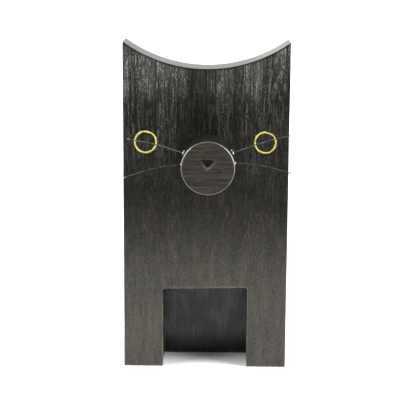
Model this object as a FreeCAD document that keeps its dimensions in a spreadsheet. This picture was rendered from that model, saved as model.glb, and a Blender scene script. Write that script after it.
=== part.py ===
import FreeCAD, Part

import math
import os

from Sketcher import Constraint

# A wooden cat-face stand that holds one pair of glasses on its nose, in millimetres.
# X runs to the right, the front faces -Y and Z is up. The origin is on the floor under the middle of
# the front board, so half of the board's thickness lies on each side of y = 0.

DIMENSIONS = {
    # Front board, 3/4 inch stock
    "board_width": 70.0,
    "board_height": 141.0,
    "board_thickness": 19.0,
    "scoop_radius": 60.0,
    "edge_ease": 0.5,
    # Cut-out between the two legs. It was sawn by hand, so its top edge runs a little out of level.
    "cutout_left": 18.2,
    "cutout_right": 18.1,
    "cutout_height_left": 34.8,
    "cutout_height_right": 35.6,
    "cutout_corner": 1.0,
    # Rear board, which closes the cut-out and deepens the foot
    "rear_height": 63.5,
    "rear_thickness": 19.0,
    # Nose, a round plug that carries the bridge of the glasses
    "nose_diameter": 22.2,
    "nose_length": 19.0,
    "nose_offset": 1.0,
    "nose_height": 91.2,
    "rim_ease": 0.45,
    # Triangle carved in the nose, point down, measured from the nose's centre
    "mouth_left": 3.3,
    "mouth_right": 3.5,
    "mouth_top": 3.4,
    "mouth_tip_down": 0.9,
    "mouth_tip_left": 0.5,
    "mouth_depth": 1.2,
    "mouth_slope": 27.0,
    # Glued dowel pins: one behind the nose and two between the boards
    "nose_pin_diameter": 8.0,
    "board_pin_diameter": 6.0,
    "pin_length": 25.0,
    "pin_end_gap": 1.0,
    "pin_chamfer": 0.8,
    "flute_diameter": 0.7,
    "board_pin_spread": 22.0,
    "board_pin_height": 49.0,
    # Whiskers, stiff filaments in drilled holes round the side of the nose
    "whisker_diameter": 0.5,
    "whisker_depth": 3.0,
    "whisker_standoff": 6.0,
    "bead_radius": 0.75,
    # Painted eye rings
    "left_eye_diameter": 10.0,
    "right_eye_diameter": 9.8,
    "left_eye_offset": -25.5,
    "right_eye_offset": 24.9,
    "left_eye_height": 98.9,
    "right_eye_height": 99.0,
    "eye_line": 0.9,
    "paint_thickness": 0.15,
}

TOLERANCE = 1e-4
LEAST_CUT = 0.1  # cubic millimetres

FLUTES = 12
WHISKER_SWEEP = 3.0  # degrees that each whisker leans away from the board
BEND_SHARE = 0.45  # share of the shorter run that a bend takes up on each side of its corner

# Each whisker: its side, the climb of its first run in degrees, its straight runs in millimetres from
# the bottom of its hole, and the turns between them in degrees, upwards positive.
WHISKERS = {
    "upper_left_whisker": ("left", 21.5, (13.5, 13.0, 0.9), (-13.5, 35.0)),
    "lower_left_whisker": ("left", -3.5, (9.0, 9.0, 10.0), (-9.0, -7.0)),
    "upper_right_whisker": ("right", 23.0, (18.5, 9.8), (-13.5,)),
    "lower_right_whisker": ("right", 0.5, (8.7, 8.7, 9.9), (-9.5, -7.0)),
}

doc = FreeCAD.newDocument("glasses_stand")
sheet = doc.addObject("Spreadsheet::Sheet", "Dims")


def fill_sheet():
    for row, (alias, value) in enumerate(DIMENSIONS.items(), start=1):
        sheet.set(f"A{row}", alias.replace("_", " "))
        sheet.set(f"B{row}", str(value))
        sheet.setAlias(f"B{row}", alias)
    doc.recompute()


def size(alias):
    """The sheet's value of one driving dimension."""
    return float(sheet.get(alias))


def vec(x, y, z=0.0):
    return FreeCAD.Vector(x, y, z)


def bind(thing, **expressions):
    """Ties properties to the sheet. A double underscore in a name stands for a dot."""
    for name, expression in expressions.items():
        thing.setExpression(name.replace("__", "."), expression)


def new_body(name):
    body = doc.addObject("PartDesign::Body", name)
    body.Label = name
    return body


def place(thing, x="0", y="0", z="0"):
    """Places a sub-part by expressions in the sheet's dimensions."""
    bind(thing, Placement__Base__x=x, Placement__Base__y=y, Placement__Base__z=z)


def new_sketch(body, name, role="XZ_Plane", out=None):
    """A sketch on one of the body's origin planes, or moved out from it along its normal.

    On XZ_Plane the sketch's x is X, its y is Z and its normal is -Y.
    """
    plane = next(feature for feature in body.Origin.OriginFeatures if feature.Role == role)
    sketch = body.newObject("Sketcher::SketchObject", name)
    sketch.AttachmentSupport = [(plane, "")]
    sketch.MapMode = "FlatFace"
    if out:
        sketch.setExpression(".AttachmentOffset.Base.z", out)
    return sketch


def constrain(sketch, kind, *where, to=None):
    """Adds one constraint. A dimension is named after the sheet's cell or expression that drives it."""
    if to is None:
        sketch.addConstraint(Constraint(kind, *where))
        return
    name, expression, value = to
    index = sketch.addConstraint(Constraint(kind, *where, value))
    sketch.renameConstraint(index, name)
    sketch.setExpression(f"Constraints.{name}", expression)


def driven(alias):
    """Name, expression and value of a dimension that is one of the sheet's cells."""
    return alias, f"Dims.{alias}", size(alias)


def circle(sketch, diameter_alias, x_alias=None, y_alias=None):
    """A circle driven by the sheet, on the sketch's origin where no place is given."""
    x, y = (size(alias) if alias else 0.0 for alias in (x_alias, y_alias))
    index = sketch.addGeometry(Part.Circle(vec(x, y), vec(0, 0, 1), size(diameter_alias) / 2))
    if x_alias:
        constrain(sketch, "DistanceX", -1, 1, index, 3, to=driven(x_alias))
        constrain(sketch, "DistanceY", -1, 1, index, 3, to=driven(y_alias))
    else:
        constrain(sketch, "Coincident", index, 3, -1, 1)
    constrain(sketch, "Diameter", index, to=driven(diameter_alias))
    return index


def polygon(sketch, points):
    """Straight edges through the points, joined at the corners. Returns their indices."""
    first = sketch.GeometryCount
    for start, end in zip(points, points[1:] + points[:1]):
        sketch.addGeometry(Part.LineSegment(vec(*start), vec(*end)))
    count = len(points)
    for edge in range(count):
        constrain(sketch, "Coincident", first + edge, 2, first + (edge + 1) % count, 1)
    return list(range(first, first + count))


def pad(body, sketch, length, symmetric=False, reverse=False):
    """Material along the sketch's normal, against it, or half to each side of the sketch."""
    feature = body.newObject("PartDesign::Pad", sketch.Name + "_pad")
    feature.Profile = sketch
    feature.SideType = "Symmetric" if symmetric else "One side"
    feature.Reversed = reverse
    bind(feature, Length=length)
    doc.recompute()


def pocket(body, sketch, depth=None, reverse=False, slope=None):
    """A cut against the sketch's normal, or right through where no depth is given.

    It must take something away, or the build stops.
    """
    before = body.Shape.Volume
    feature = body.newObject("PartDesign::Pocket", sketch.Name + "_pocket")
    feature.Profile = sketch
    feature.Reversed = reverse
    if depth:
        bind(feature, Length=depth)
    else:
        feature.Type = "ThroughAll"
        feature.SideType = "Symmetric"
    if slope:
        bind(feature, TaperAngle=slope)
    doc.recompute()
    if body.Shape.Volume > before - LEAST_CUT:
        raise SystemExit(f"{feature.Name} cut nothing")
    return feature


def ease(body, radius, chosen):
    """Rounds the edges of the body's tip that chosen(edge) picks."""
    tip = body.Tip
    names = [f"Edge{n}" for n, edge in enumerate(tip.Shape.Edges, start=1) if chosen(edge)]
    feature = body.newObject("PartDesign::Fillet", body.Name + "_ease")
    feature.Base = (tip, names)
    bind(feature, Radius=radius)
    doc.recompute()


def lies_at_y(edge, y):
    return all(abs(vertex.Y - y) < TOLERANCE for vertex in edge.Vertexes)


def cut(name, base, *tools):
    """Base with each tool taken away in turn. The last result carries the name."""
    result = base
    for number, tool in enumerate(tools, start=1):
        feature = doc.addObject("Part::Cut", name if number == len(tools) else f"{name}_{number}")
        feature.Base = result
        feature.Tool = tool
        result = feature
    result.Label = name
    return result


def make_front_board():
    """Upright board: legs, straight sides and a scooped top that leaves two pointed ears."""
    body = new_body("front_board")
    half = size("board_width") / 2
    height = size("board_height")
    radius = size("scoop_radius")
    scoop_centre = height + math.sqrt(radius**2 - half**2)
    spread = math.asin(half / radius)

    outline = new_sketch(body, "outline")
    right, left, foot = (
        outline.addGeometry(Part.LineSegment(vec(*start), vec(*end)))
        for start, end in (
            ((half, 0), (half, height)),
            ((-half, height), (-half, 0)),
            ((-half, 0), (half, 0)),
        )
    )
    scoop = outline.addGeometry(
        Part.ArcOfCircle(
            Part.Circle(vec(0, scoop_centre), vec(0, 0, 1), radius),
            -math.pi / 2 - spread,
            -math.pi / 2 + spread,
        )
    )
    constrain(outline, "Coincident", right, 2, scoop, 2)
    constrain(outline, "Coincident", scoop, 1, left, 1)
    constrain(outline, "Coincident", left, 2, foot, 1)
    constrain(outline, "Coincident", foot, 2, right, 1)
    constrain(outline, "Vertical", right)
    constrain(outline, "Vertical", left)
    constrain(outline, "Symmetric", foot, 1, foot, 2, -1, 1)
    constrain(outline, "Horizontal", foot)
    constrain(outline, "PointOnObject", scoop, 3, -2)
    constrain(outline, "DistanceX", foot, 1, foot, 2, to=driven("board_width"))
    constrain(outline, "DistanceY", right, 1, right, 2, to=driven("board_height"))
    constrain(outline, "Radius", scoop, to=driven("scoop_radius"))
    pad(body, outline, "Dims.board_thickness", symmetric=True)

    gap = new_sketch(body, "leg_gap")
    low = -size("cutout_corner")
    corners = [
        (-size("cutout_left"), low),
        (size("cutout_right"), low),
        (size("cutout_right"), size("cutout_height_right")),
        (-size("cutout_left"), size("cutout_height_left")),
    ]
    bottom, right, top, left = polygon(gap, corners)
    constrain(gap, "Horizontal", bottom)
    constrain(gap, "Vertical", right)
    constrain(gap, "Vertical", left)
    constrain(gap, "DistanceY", bottom, 1, -1, 1, to=driven("cutout_corner"))
    constrain(gap, "DistanceX", bottom, 1, -1, 1, to=driven("cutout_left"))
    constrain(gap, "DistanceX", -1, 1, bottom, 2, to=driven("cutout_right"))
    constrain(gap, "DistanceY", -1, 1, top, 1, to=driven("cutout_height_right"))
    constrain(gap, "DistanceY", -1, 1, top, 2, to=driven("cutout_height_left"))
    pocket(body, gap)

    face = size("board_thickness") / 2

    def inner_corner(edge):
        """An edge from front to back at the top of the cut-out."""
        middle = edge.CenterOfMass
        front_to_back = abs(middle.y) < TOLERANCE and edge.Length > face
        return front_to_back and 0 < middle.z < height - 1 and abs(middle.x) < half - 1

    ease(body, "Dims.cutout_corner", inner_corner)
    ease(body, "Dims.edge_ease", lambda edge: lies_at_y(edge, -face) or lies_at_y(edge, face))

    nose_hole = new_sketch(body, "nose_pin_hole", out="Dims.board_thickness / 2")
    circle(nose_hole, "nose_pin_diameter", "nose_offset", "nose_height")
    pocket(body, nose_hole, "Dims.pin_length / 2 + Dims.pin_end_gap")

    board_holes = new_sketch(body, "board_pin_holes", out="-Dims.board_thickness / 2")
    add_board_pin_circles(board_holes)
    pocket(body, board_holes, "Dims.pin_length / 2 + Dims.pin_end_gap", reverse=True)
    return body


def add_board_pin_circles(sketch):
    """The two pins between the boards, one each side of the middle."""
    right = circle(sketch, "board_pin_diameter", "board_pin_spread", "board_pin_height")
    mirrored = vec(-size("board_pin_spread"), size("board_pin_height"))
    left = sketch.addGeometry(Part.Circle(mirrored, vec(0, 0, 1), size("board_pin_diameter") / 2))
    constrain(sketch, "Symmetric", right, 3, left, 3, -2)
    constrain(sketch, "Equal", right, left)


def make_rear_board():
    """Lower board, glued behind the legs. Its front face is square-edged for the joint."""
    body = new_body("rear_board")
    place(body, y="Dims.board_thickness / 2")
    half = size("board_width") / 2
    height = size("rear_height")

    outline = new_sketch(body, "rear_outline")
    corners = [(-half, 0), (half, 0), (half, height), (-half, height)]
    foot, right, top, left = polygon(outline, corners)
    for edge in (foot, top):
        constrain(outline, "Horizontal", edge)
    for edge in (left, right):
        constrain(outline, "Vertical", edge)
    constrain(outline, "Symmetric", foot, 1, foot, 2, -1, 1)
    constrain(outline, "DistanceX", foot, 1, foot, 2, to=driven("board_width"))
    constrain(outline, "DistanceY", right, 1, right, 2, to=driven("rear_height"))
    pad(body, outline, "Dims.rear_thickness", reverse=True)

    back = size("rear_thickness")
    ease(body, "Dims.edge_ease", lambda edge: lies_at_y(edge, back))

    holes = new_sketch(body, "rear_pin_holes")
    add_board_pin_circles(holes)
    pocket(body, holes, "Dims.pin_length / 2 + Dims.pin_end_gap")
    return body


def make_nose_blank():
    """Round plug with an eased front rim, a carved triangle and a blind hole for its pin."""
    body = new_body("nose_blank")
    place(body, "Dims.nose_offset", "-Dims.board_thickness / 2", "Dims.nose_height")

    plug = new_sketch(body, "plug")
    circle(plug, "nose_diameter")
    pad(body, plug, "Dims.nose_length")

    front = -size("nose_length")
    ease(body, "Dims.rim_ease", lambda edge: lies_at_y(edge, front))

    mouth = new_sketch(body, "mouth", out="Dims.nose_length")
    corners = [
        (-size("mouth_left"), size("mouth_top")),
        (size("mouth_right"), size("mouth_top")),
        (-size("mouth_tip_left"), -size("mouth_tip_down")),
    ]
    top, right, left = polygon(mouth, corners)
    constrain(mouth, "Horizontal", top)
    constrain(mouth, "DistanceX", top, 1, -1, 1, to=driven("mouth_left"))
    constrain(mouth, "DistanceX", -1, 1, top, 2, to=driven("mouth_right"))
    constrain(mouth, "DistanceY", -1, 1, top, 1, to=driven("mouth_top"))
    constrain(mouth, "DistanceX", left, 1, -1, 1, to=driven("mouth_tip_left"))
    constrain(mouth, "DistanceY", left, 1, -1, 1, to=driven("mouth_tip_down"))
    pocket(body, mouth, "Dims.mouth_depth", slope="-Dims.mouth_slope")

    hole = new_sketch(body, "plug_pin_hole")
    circle(hole, "nose_pin_diameter")
    pocket(body, hole, "Dims.pin_length / 2 + Dims.pin_end_gap", reverse=True)
    return body


def make_pin(name, diameter_alias):
    """Fluted dowel pin along Y, centred on its own origin, with chamfered ends."""
    body = new_body(name)
    round_section = new_sketch(body, name + "_section")
    circle(round_section, diameter_alias)
    pad(body, round_section, "Dims.pin_length", symmetric=True)

    tip = body.Tip
    ends = [f"Edge{n}" for n, edge in enumerate(tip.Shape.Edges, start=1) if len(edge.Vertexes) == 1]
    chamfer = body.newObject("PartDesign::Chamfer", name + "_chamfer")
    chamfer.Base = (tip, ends)
    bind(chamfer, Size="Dims.pin_chamfer")
    doc.recompute()

    flute = new_sketch(body, name + "_flute")
    rim = size(diameter_alias) / 2
    groove = flute.addGeometry(
        Part.Circle(vec(0, rim), vec(0, 0, 1), size("flute_diameter") / 2)
    )
    constrain(flute, "PointOnObject", groove, 3, -2)
    at_rim = ("rim", f"Dims.{diameter_alias} / 2", rim)
    constrain(flute, "DistanceY", -1, 1, groove, 3, to=at_rim)
    constrain(flute, "Diameter", groove, to=driven("flute_diameter"))
    first_flute = pocket(body, flute)

    flutes = body.newObject("PartDesign::PolarPattern", name + "_flutes")
    flutes.Originals = [first_flute]
    flutes.Axis = (flute, ["N_Axis"])
    flutes.Angle = 360.0
    flutes.Occurrences = FLUTES
    body.Tip = flutes
    doc.recompute()
    return body


def make_board_pins():
    """The two pins between the boards, one node of two separate solids."""
    pins = []
    for side, x in (("left", "-Dims.board_pin_spread"), ("right", "Dims.board_pin_spread")):
        pin = make_pin(f"{side}_board_pin", "board_pin_diameter")
        place(pin, x, "Dims.board_thickness / 2", "Dims.board_pin_height")
        pins.append(pin)
    pair = doc.addObject("Part::Compound", "rear_board_dowels")
    pair.Links = pins
    pair.Label = "rear_board_dowels"
    return pair


def whisker_turn(side, climb):
    """Turns a whisker's own X along its first run, out from the nose's axis, with its Z upwards."""
    sweep = -WHISKER_SWEEP if side == "right" else 180.0 + WHISKER_SWEEP
    return FreeCAD.Rotation(vec(0, 0, 1), sweep) * FreeCAD.Rotation(vec(0, 1, 0), -climb)


def place_on_nose(thing, rotation, out=0.0):
    """Turns a piece and puts it on the nose's axis, level with the whisker holes.

    The piece can then stand out along its own X by a number of nose radii.
    """
    along = rotation.multVec(vec(out, 0))
    thing.Placement = FreeCAD.Placement(vec(0, 0), rotation)
    place(
        thing,
        f"Dims.nose_offset + Dims.nose_diameter / 2 * {along.x:.6f}",
        "-Dims.board_thickness / 2 - Dims.whisker_standoff"
        f" + Dims.nose_diameter / 2 * {along.y:.6f}",
        f"Dims.nose_height + Dims.nose_diameter / 2 * {along.z:.6f}",
    )


def add_bent_path(sketch, start, runs, turns):
    """Straight runs joined by tangent arcs in the sketch's plane, starting out along its x."""
    heading = 0.0
    corner = vec(start, 0)
    here = corner
    for run, next_run, turn in zip(runs, runs[1:], turns):
        into = vec(math.cos(heading), math.sin(heading))
        heading += math.radians(turn)
        onwards = vec(math.cos(heading), math.sin(heading))
        corner = corner + into * run

        back = BEND_SHARE * min(run, next_run)
        half_turn = math.radians(abs(turn)) / 2
        inside = (onwards - into).normalize() * (back * math.tan(half_turn / 2))
        sketch.addGeometry(Part.LineSegment(here, corner - into * back))
        here = corner + onwards * back
        sketch.addGeometry(Part.Arc(corner - into * back, corner + inside, here))
    sketch.addGeometry(Part.LineSegment(here, corner + onwards * runs[-1]))


def make_whisker(name, side, climb, runs, turns):
    """One filament, from the bottom of its hole in the nose to its free tip."""
    body = new_body(name)
    place_on_nose(body, whisker_turn(side, climb))
    root = size("nose_diameter") / 2 - size("whisker_depth")

    route = new_sketch(body, name + "_route")
    add_bent_path(route, root, runs, turns)
    doc.recompute()

    section = new_sketch(
        body, name + "_section", role="YZ_Plane", out="Dims.nose_diameter / 2 - Dims.whisker_depth"
    )
    circle(section, "whisker_diameter")

    filament = body.newObject("PartDesign::AdditivePipe", name + "_filament")
    filament.Profile = section
    filament.Spine = (route, [f"Edge{n}" for n in range(1, len(route.Shape.Edges) + 1)])
    doc.recompute()
    return body


def make_beads(nose_blank, whiskers):
    """Drops of glue round the roots of the whiskers, one node of four separate solids."""
    beads = []
    for name, whisker in whiskers.items():
        side, climb, _, _ = WHISKERS[name]
        drop = doc.addObject("Part::Sphere", name + "_drop")
        bind(drop, Radius="Dims.bead_radius")
        place_on_nose(drop, whisker_turn(side, climb), out=1.0)
        beads.append(cut(name + "_bead", drop, nose_blank, whisker))
    group = doc.addObject("Part::Compound", "whisker_glue_beads")
    group.Links = beads
    group.Label = "whisker_glue_beads"
    return group


def make_eye_ring(side):
    """A thin ring of paint on the board's front face."""
    body = new_body(f"{side}_eye_ring")
    place(
        body, f"Dims.{side}_eye_offset", "-Dims.board_thickness / 2", f"Dims.{side}_eye_height"
    )
    ring = new_sketch(body, f"{side}_ring")
    outer_alias = f"{side}_eye_diameter"
    circle(ring, outer_alias)
    inner_diameter = size(outer_alias) - 2 * size("eye_line")
    inner = ring.addGeometry(Part.Circle(vec(0, 0), vec(0, 0, 1), inner_diameter / 2))
    constrain(ring, "Coincident", inner, 3, -1, 1)
    inside = ("inside", f"Dims.{outer_alias} - 2 * Dims.eye_line", inner_diameter)
    constrain(ring, "Diameter", inner, to=inside)
    pad(body, ring, "Dims.paint_thickness")
    return body


def check_document():
    """Stops the build if any object failed, because a recompute can leave one failed in silence."""
    doc.recompute()
    for thing in doc.Objects:
        if "Invalid" in thing.State or "Error" in thing.State:
            raise SystemExit(f"{thing.Label} is {thing.State}")


def export(thing):
    shape = thing.Shape
    if shape.isNull() or not shape.isValid():
        raise SystemExit(f"{thing.Label} has no valid shape")
    box = shape.BoundBox
    print(
        f"{thing.Label}: {len(shape.Solids)} solid, {shape.Volume:.2f} mm3,"
        f" {box.XLength:.2f} x {box.YLength:.2f} x {box.ZLength:.2f} mm"
    )
    shape.exportStep(f"parts/{thing.Label}.step")


def main():
    os.makedirs("parts", exist_ok=True)
    fill_sheet()

    nose_blank = make_nose_blank()
    whiskers = {name: make_whisker(name, *shape) for name, shape in WHISKERS.items()}
    nose_pin = make_pin("nose_dowel", "nose_pin_diameter")
    place(nose_pin, "Dims.nose_offset", "-Dims.board_thickness / 2", "Dims.nose_height")

    sub_parts = [
        make_front_board(),
        make_rear_board(),
        make_board_pins(),
        cut("nose", nose_blank, *whiskers.values()),
        nose_pin,
        *whiskers.values(),
        make_beads(nose_blank, whiskers),
        make_eye_ring("left"),
        make_eye_ring("right"),
    ]
    check_document()
    for sub_part in sub_parts:
        export(sub_part)


main()
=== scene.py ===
"""Looks of the wooden eyeglasses stand: two dark boards, a round nose, whiskers and painted eyes.

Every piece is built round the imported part, in metres. +Z is up and the front faces -Y.
"""

import math

import bpy
import numpy as np
from mathutils import Matrix, Vector


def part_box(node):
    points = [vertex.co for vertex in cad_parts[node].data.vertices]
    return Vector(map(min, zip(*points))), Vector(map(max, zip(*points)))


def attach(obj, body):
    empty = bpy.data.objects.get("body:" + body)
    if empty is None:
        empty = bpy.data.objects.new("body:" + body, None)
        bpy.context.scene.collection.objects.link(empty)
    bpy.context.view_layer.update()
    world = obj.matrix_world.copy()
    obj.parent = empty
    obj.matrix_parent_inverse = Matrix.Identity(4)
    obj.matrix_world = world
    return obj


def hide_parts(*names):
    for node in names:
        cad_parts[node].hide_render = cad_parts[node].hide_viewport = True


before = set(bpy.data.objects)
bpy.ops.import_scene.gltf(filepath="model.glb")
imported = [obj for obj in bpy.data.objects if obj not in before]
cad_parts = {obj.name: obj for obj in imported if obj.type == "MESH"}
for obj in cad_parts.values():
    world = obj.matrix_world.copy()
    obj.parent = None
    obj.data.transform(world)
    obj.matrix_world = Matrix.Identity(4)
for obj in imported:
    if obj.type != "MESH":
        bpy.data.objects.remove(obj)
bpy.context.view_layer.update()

MM = 0.001

# The boards: the front one has a scooped top and a cut-out for its two legs.
SCOOP_RADIUS = 60 * MM
CUTOUT_LEFT = -18.2 * MM
CUTOUT_RIGHT = 18.1 * MM
CUTOUT_TOP_LEFT = 34.8 * MM
CUTOUT_TOP_RIGHT = 35.6 * MM
LEFT_CORNER_RADIUS = 0.5 * MM
RIGHT_CORNER_RADIUS = 1.1 * MM
EAR_RADIUS = 0.2 * MM
FOOT_RADIUS = 0.3 * MM
EASE = 0.35 * MM
FOOT_EASE = 0.1 * MM
EASE_STEPS = 4

# The mesh of a board: thin upright cells, so that the grain can be cut into it.
COLUMN = 0.28 * MM
RIM = 0.4 * MM
ROW = 1.25 * MM
WALL_ROW = 0.8 * MM

# The grain: grooves run up the boards, deep near the top and worn smooth near the feet.
LAYER_SLANT = math.radians(28)
SMOOTH_BELOW = 72 * MM
OPEN_ABOVE = 112 * MM
DEEP_GROOVE = 0.13 * MM
WORN_GROOVE = 0.02 * MM

# The front board's stain: brown below, black with silvery fibres above. The silver is partly painted
# highlight, and the darker middle is partly painted shade of the glasses. From left to right it has a dark
# heart that spreads leftwards lower down, a dark band and a pale strip. The rear board's foot is scuffed, and
# painted darker towards the floor as shade.
WORN_BELOW = 35 * MM
DARK_ABOVE = 74 * MM
SILVER_FROM = 110 * MM
SILVER_FULL = 132 * MM
DARK_HEART = -2.5 * MM
HEART_SPREAD = 2.6 * MM
DARK_BAND = 12.5 * MM
PALE_STRIP = 22 * MM
SIDE_CONTRAST = 0.55
SCUFF_AND_SHADE_TOP = 14 * MM

# The nose: a plug with its own grain lying along X and a small carved mouth. Glasses rest on its top.
NOSE_EASE = 0.50 * MM
NOSE_POINTS = 248
NOSE_GROOVE = 0.05 * MM
BRIDGE_REST = 92 * MM
MOUTH_DEPTH = 1.6 * MM
MOUTH_MIDDLE = (-0.1 * MM, 2.2 * MM)
# Corners in mm from the nose's middle.
MOUTH_EDGE = [(-3.5, 3.3), (-2.75, 2.85), (-1.9, 1.3), (-1.2, 0.0), (-0.45, -0.45), (0.4, -0.15), (1.3, 0.6),
              (2.25, 1.8), (2.95, 2.9), (3.5, 3.3), (2.6, 3.8), (-2.4, 3.8)]
MOUTH_FLOOR = [(-2.3, 3.35), (-2.15, 2.65), (-1.7, 1.8), (-1.05, 0.85), (-0.35, 0.5), (0.45, 0.8),
               (1.25, 1.5), (1.85, 2.4), (2.1, 3.35)]

# The whiskers: filaments glued into the nose's side, in a plane that leans forward.
# The lower pair of whiskers, below this height, is painted darker as shade.
SHADED_BELOW = 93.5 * MM
WHISKER_RADIUS = 0.25 * MM
WHISKER_TIP = 0.36 * MM
WHISKER_DEPTH = 3 * MM
WHISKER_SWEEP = math.radians(3)
WHISKER_FROM_BOARD = 6 * MM
FILAMENT_SIDES = 12
FILAMENT_STEP = 0.18 * MM
WHISKERS = {  # side, climb of the first run in degrees, straight runs in mm, turns between them in degrees
    "upper_left_whisker": (-1, 21.5, (13.5, 13.0, 0.9), (-13.5, 35.0)),
    "lower_left_whisker": (-1, -3.5, (9.0, 9.0, 10.0), (-9.0, -7.0)),
    "upper_right_whisker": (1, 23.0, (18.5, 9.8), (-13.5,)),
    "lower_right_whisker": (1, 0.5, (8.7, 8.7, 9.9), (-9.5, -7.0)),
}

# The glue round each whisker: one drop, and crumbs whose sizes in mm lie in this range.
GLUE_DROP = 0.72 * MM
CRUMB_SIZES = (0.28, 0.46)
CRUMBS_AND_DROP = 4
CRUMB_SHIFT = 1.1 * MM
CRUMB_TURN = math.radians(7)

# The painted eyes. The margin keeps the wandering stroke inside its ring.
PAINT_WIDTH = 0.78 * MM
PAINT_RISE = 0.13 * MM
PAINT_SINK = 0.08 * MM
PAINT_MARGIN = 0.05 * MM

# The studio: where the white paper ends in front, and how bright each side is.
PAPER_EDGE = -218 * MM
ROOM_LOW = 0.11
ROOM_HIGH = 0.28
BACKDROP_LOW = 0.74
BACKDROP_HIGH = 2.0
LEFT_LIGHT = 8.0
RIGHT_LIGHT = 12.5

# The camera, about half a metre in front of the stand.
CAMERA_PLACE = (6.0 * MM, -539.5 * MM, 186.0 * MM)
CAMERA_PITCH = math.radians(12.27)
CAMERA_YAW = math.radians(-0.54)
CAMERA_ROLL = math.radians(-0.40)
CAMERA_LENS = 110.5
SENSOR_WIDTH = 36.0

front_low, front_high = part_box("front_board")
rear_low, rear_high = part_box("rear_board")
nose_low, nose_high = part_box("nose")
nose_centre = (nose_low + nose_high) / 2
nose_radius = (nose_high.z - nose_low.z) / 2


# ---------------- numbers and noise

def smooth_step(low, high, value):
    share = np.clip((value - low) / (high - low), 0, 1)
    return share * share * (3 - 2 * share)


def grain_noise(across, along, width, length, seed):
    """Noise from 0 to 1 in long thin cells, each column of them shifted along the grain by its own amount."""
    columns, rows = 509, 251
    rng = np.random.default_rng(seed)
    values = rng.random((columns, rows))
    shifts = rng.random(columns) * rows
    column = across / width
    first = np.floor(column).astype(int)

    def in_column(index):
        index = index % columns
        row = along / length + shifts[index]
        below = np.floor(row).astype(int)
        share = smooth_step(0, 1, row - below)
        return values[index, below % rows] * (1 - share) + values[index, (below + 1) % rows] * share

    share = smooth_step(0, 1, column - first)
    return in_column(first) * (1 - share) + in_column(first + 1) * share


# ---------------- mesh tools

def make_object(name, points, faces, sharp_above=50):
    mesh = bpy.data.meshes.new(name)
    mesh.from_pydata(np.asarray(points).tolist(), [], [list(face) for face in faces])
    mesh.shade_smooth()
    mesh.set_sharp_from_angle(angle=math.radians(sharp_above))
    piece = bpy.data.objects.new(name, mesh)
    bpy.context.scene.collection.objects.link(piece)
    return piece


def cells(rings, around, base=0):
    """The faces between rings of points that follow one another."""
    faces = []
    for near in range(base, base + (rings - 1) * around, around):
        for corner in range(around):
            following = (corner + 1) % around
            faces.append([near + corner, near + following, near + around + following, near + around + corner])
    return faces


def closed_cells(rings, around):
    """The same, with both ends closed."""
    last = (rings - 1) * around
    return [*cells(rings, around), list(range(around))[::-1], list(range(last, last + around))]


def points_of(piece, kind="co"):
    """The vertices' coordinates, or their normals."""
    values = np.empty(len(piece.data.vertices) * 3)
    piece.data.vertices.foreach_get(kind, values)
    return values.reshape(-1, 3)


def keep_value(piece, name, values):
    """Stores a number at every vertex, for the material to read."""
    attribute = piece.data.attributes.new(name, "FLOAT", "POINT")
    attribute.data.foreach_set("value", np.asarray(values, np.float32))


def sink(piece, depths):
    """Moves every vertex inwards by its own depth."""
    moved = points_of(piece) - points_of(piece, "normal") * depths[:, None]
    piece.data.vertices.foreach_set("co", moved.ravel())
    piece.data.update()


def finish_piece(piece, material, slot, *nodes):
    piece.data.materials.append(material)
    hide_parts(*nodes)
    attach(piece, "root")


# ---------------- the boards

def spaced(start, end, step):
    return list(np.linspace(start, end, max(1, round((end - start) / step)) + 1))


def columns_between(edges):
    """X of the grid's columns, with a clear rim on both sides of every upright edge of the outline."""
    columns = []
    for left, right in zip(edges, edges[1:]):
        columns += [left] + spaced(left + RIM, right - RIM, COLUMN)
    return np.array(columns + [edges[-1]])


def walk(corners):
    """The grid points on the outline, as (column, row), and the place of each corner in that list."""
    path, places = [], []
    for (i, j), (next_i, next_j) in zip(corners, corners[1:] + corners[:1]):
        places.append(len(path))
        steps = max(abs(next_i - i), abs(next_j - j))
        for step in range(steps):
            path.append((i + (next_i - i) * step // steps, j + (next_j - j) * step // steps))
    return path, places


def inset(loop, distances):
    """A closed outline moved inwards, with mitred corners, by its own distance at every point."""
    ahead = np.roll(loop, -1, 0) - loop
    ahead /= np.linalg.norm(ahead, axis=1)[:, None]
    normal = np.stack([-ahead[:, 1], ahead[:, 0]], 1)
    before = np.roll(normal, 1, 0)
    return loop + (distances / (1 + (normal * before).sum(1)))[:, None] * (normal + before)


def round_corner(loop, place, radius):
    """Moves the points beside one corner of a closed outline onto an arc."""
    count = len(loop)
    corner = loop[place].copy()
    arms = [loop[(place + step) % count] - corner for step in (-1, 1)]
    arms = [arm / np.linalg.norm(arm) for arm in arms]
    half = math.acos(np.clip(arms[0] @ arms[1], -1, 1)) / 2
    setback = radius / math.tan(half)
    middle = arms[0] + arms[1]
    centre = corner + middle / np.linalg.norm(middle) * radius / math.sin(half)
    reach = []
    for step in (-1, 1):
        k = 1
        while np.linalg.norm(loop[(place + step * k) % count] - corner) <= setback:
            k += 1
        reach.append(k - 1)
    moved = range(place - reach[0], place + reach[1] + 1)
    start, end = [corner + arm * setback - centre for arm in arms]
    sweep = math.pi - 2 * half
    for number, k in enumerate(moved):
        share = number / (len(moved) - 1) if len(moved) > 1 else 0.5
        direction = math.sin((1 - share) * sweep) * start + math.sin(share * sweep) * end
        loop[k % count] = centre + direction / math.sin(sweep)


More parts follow.
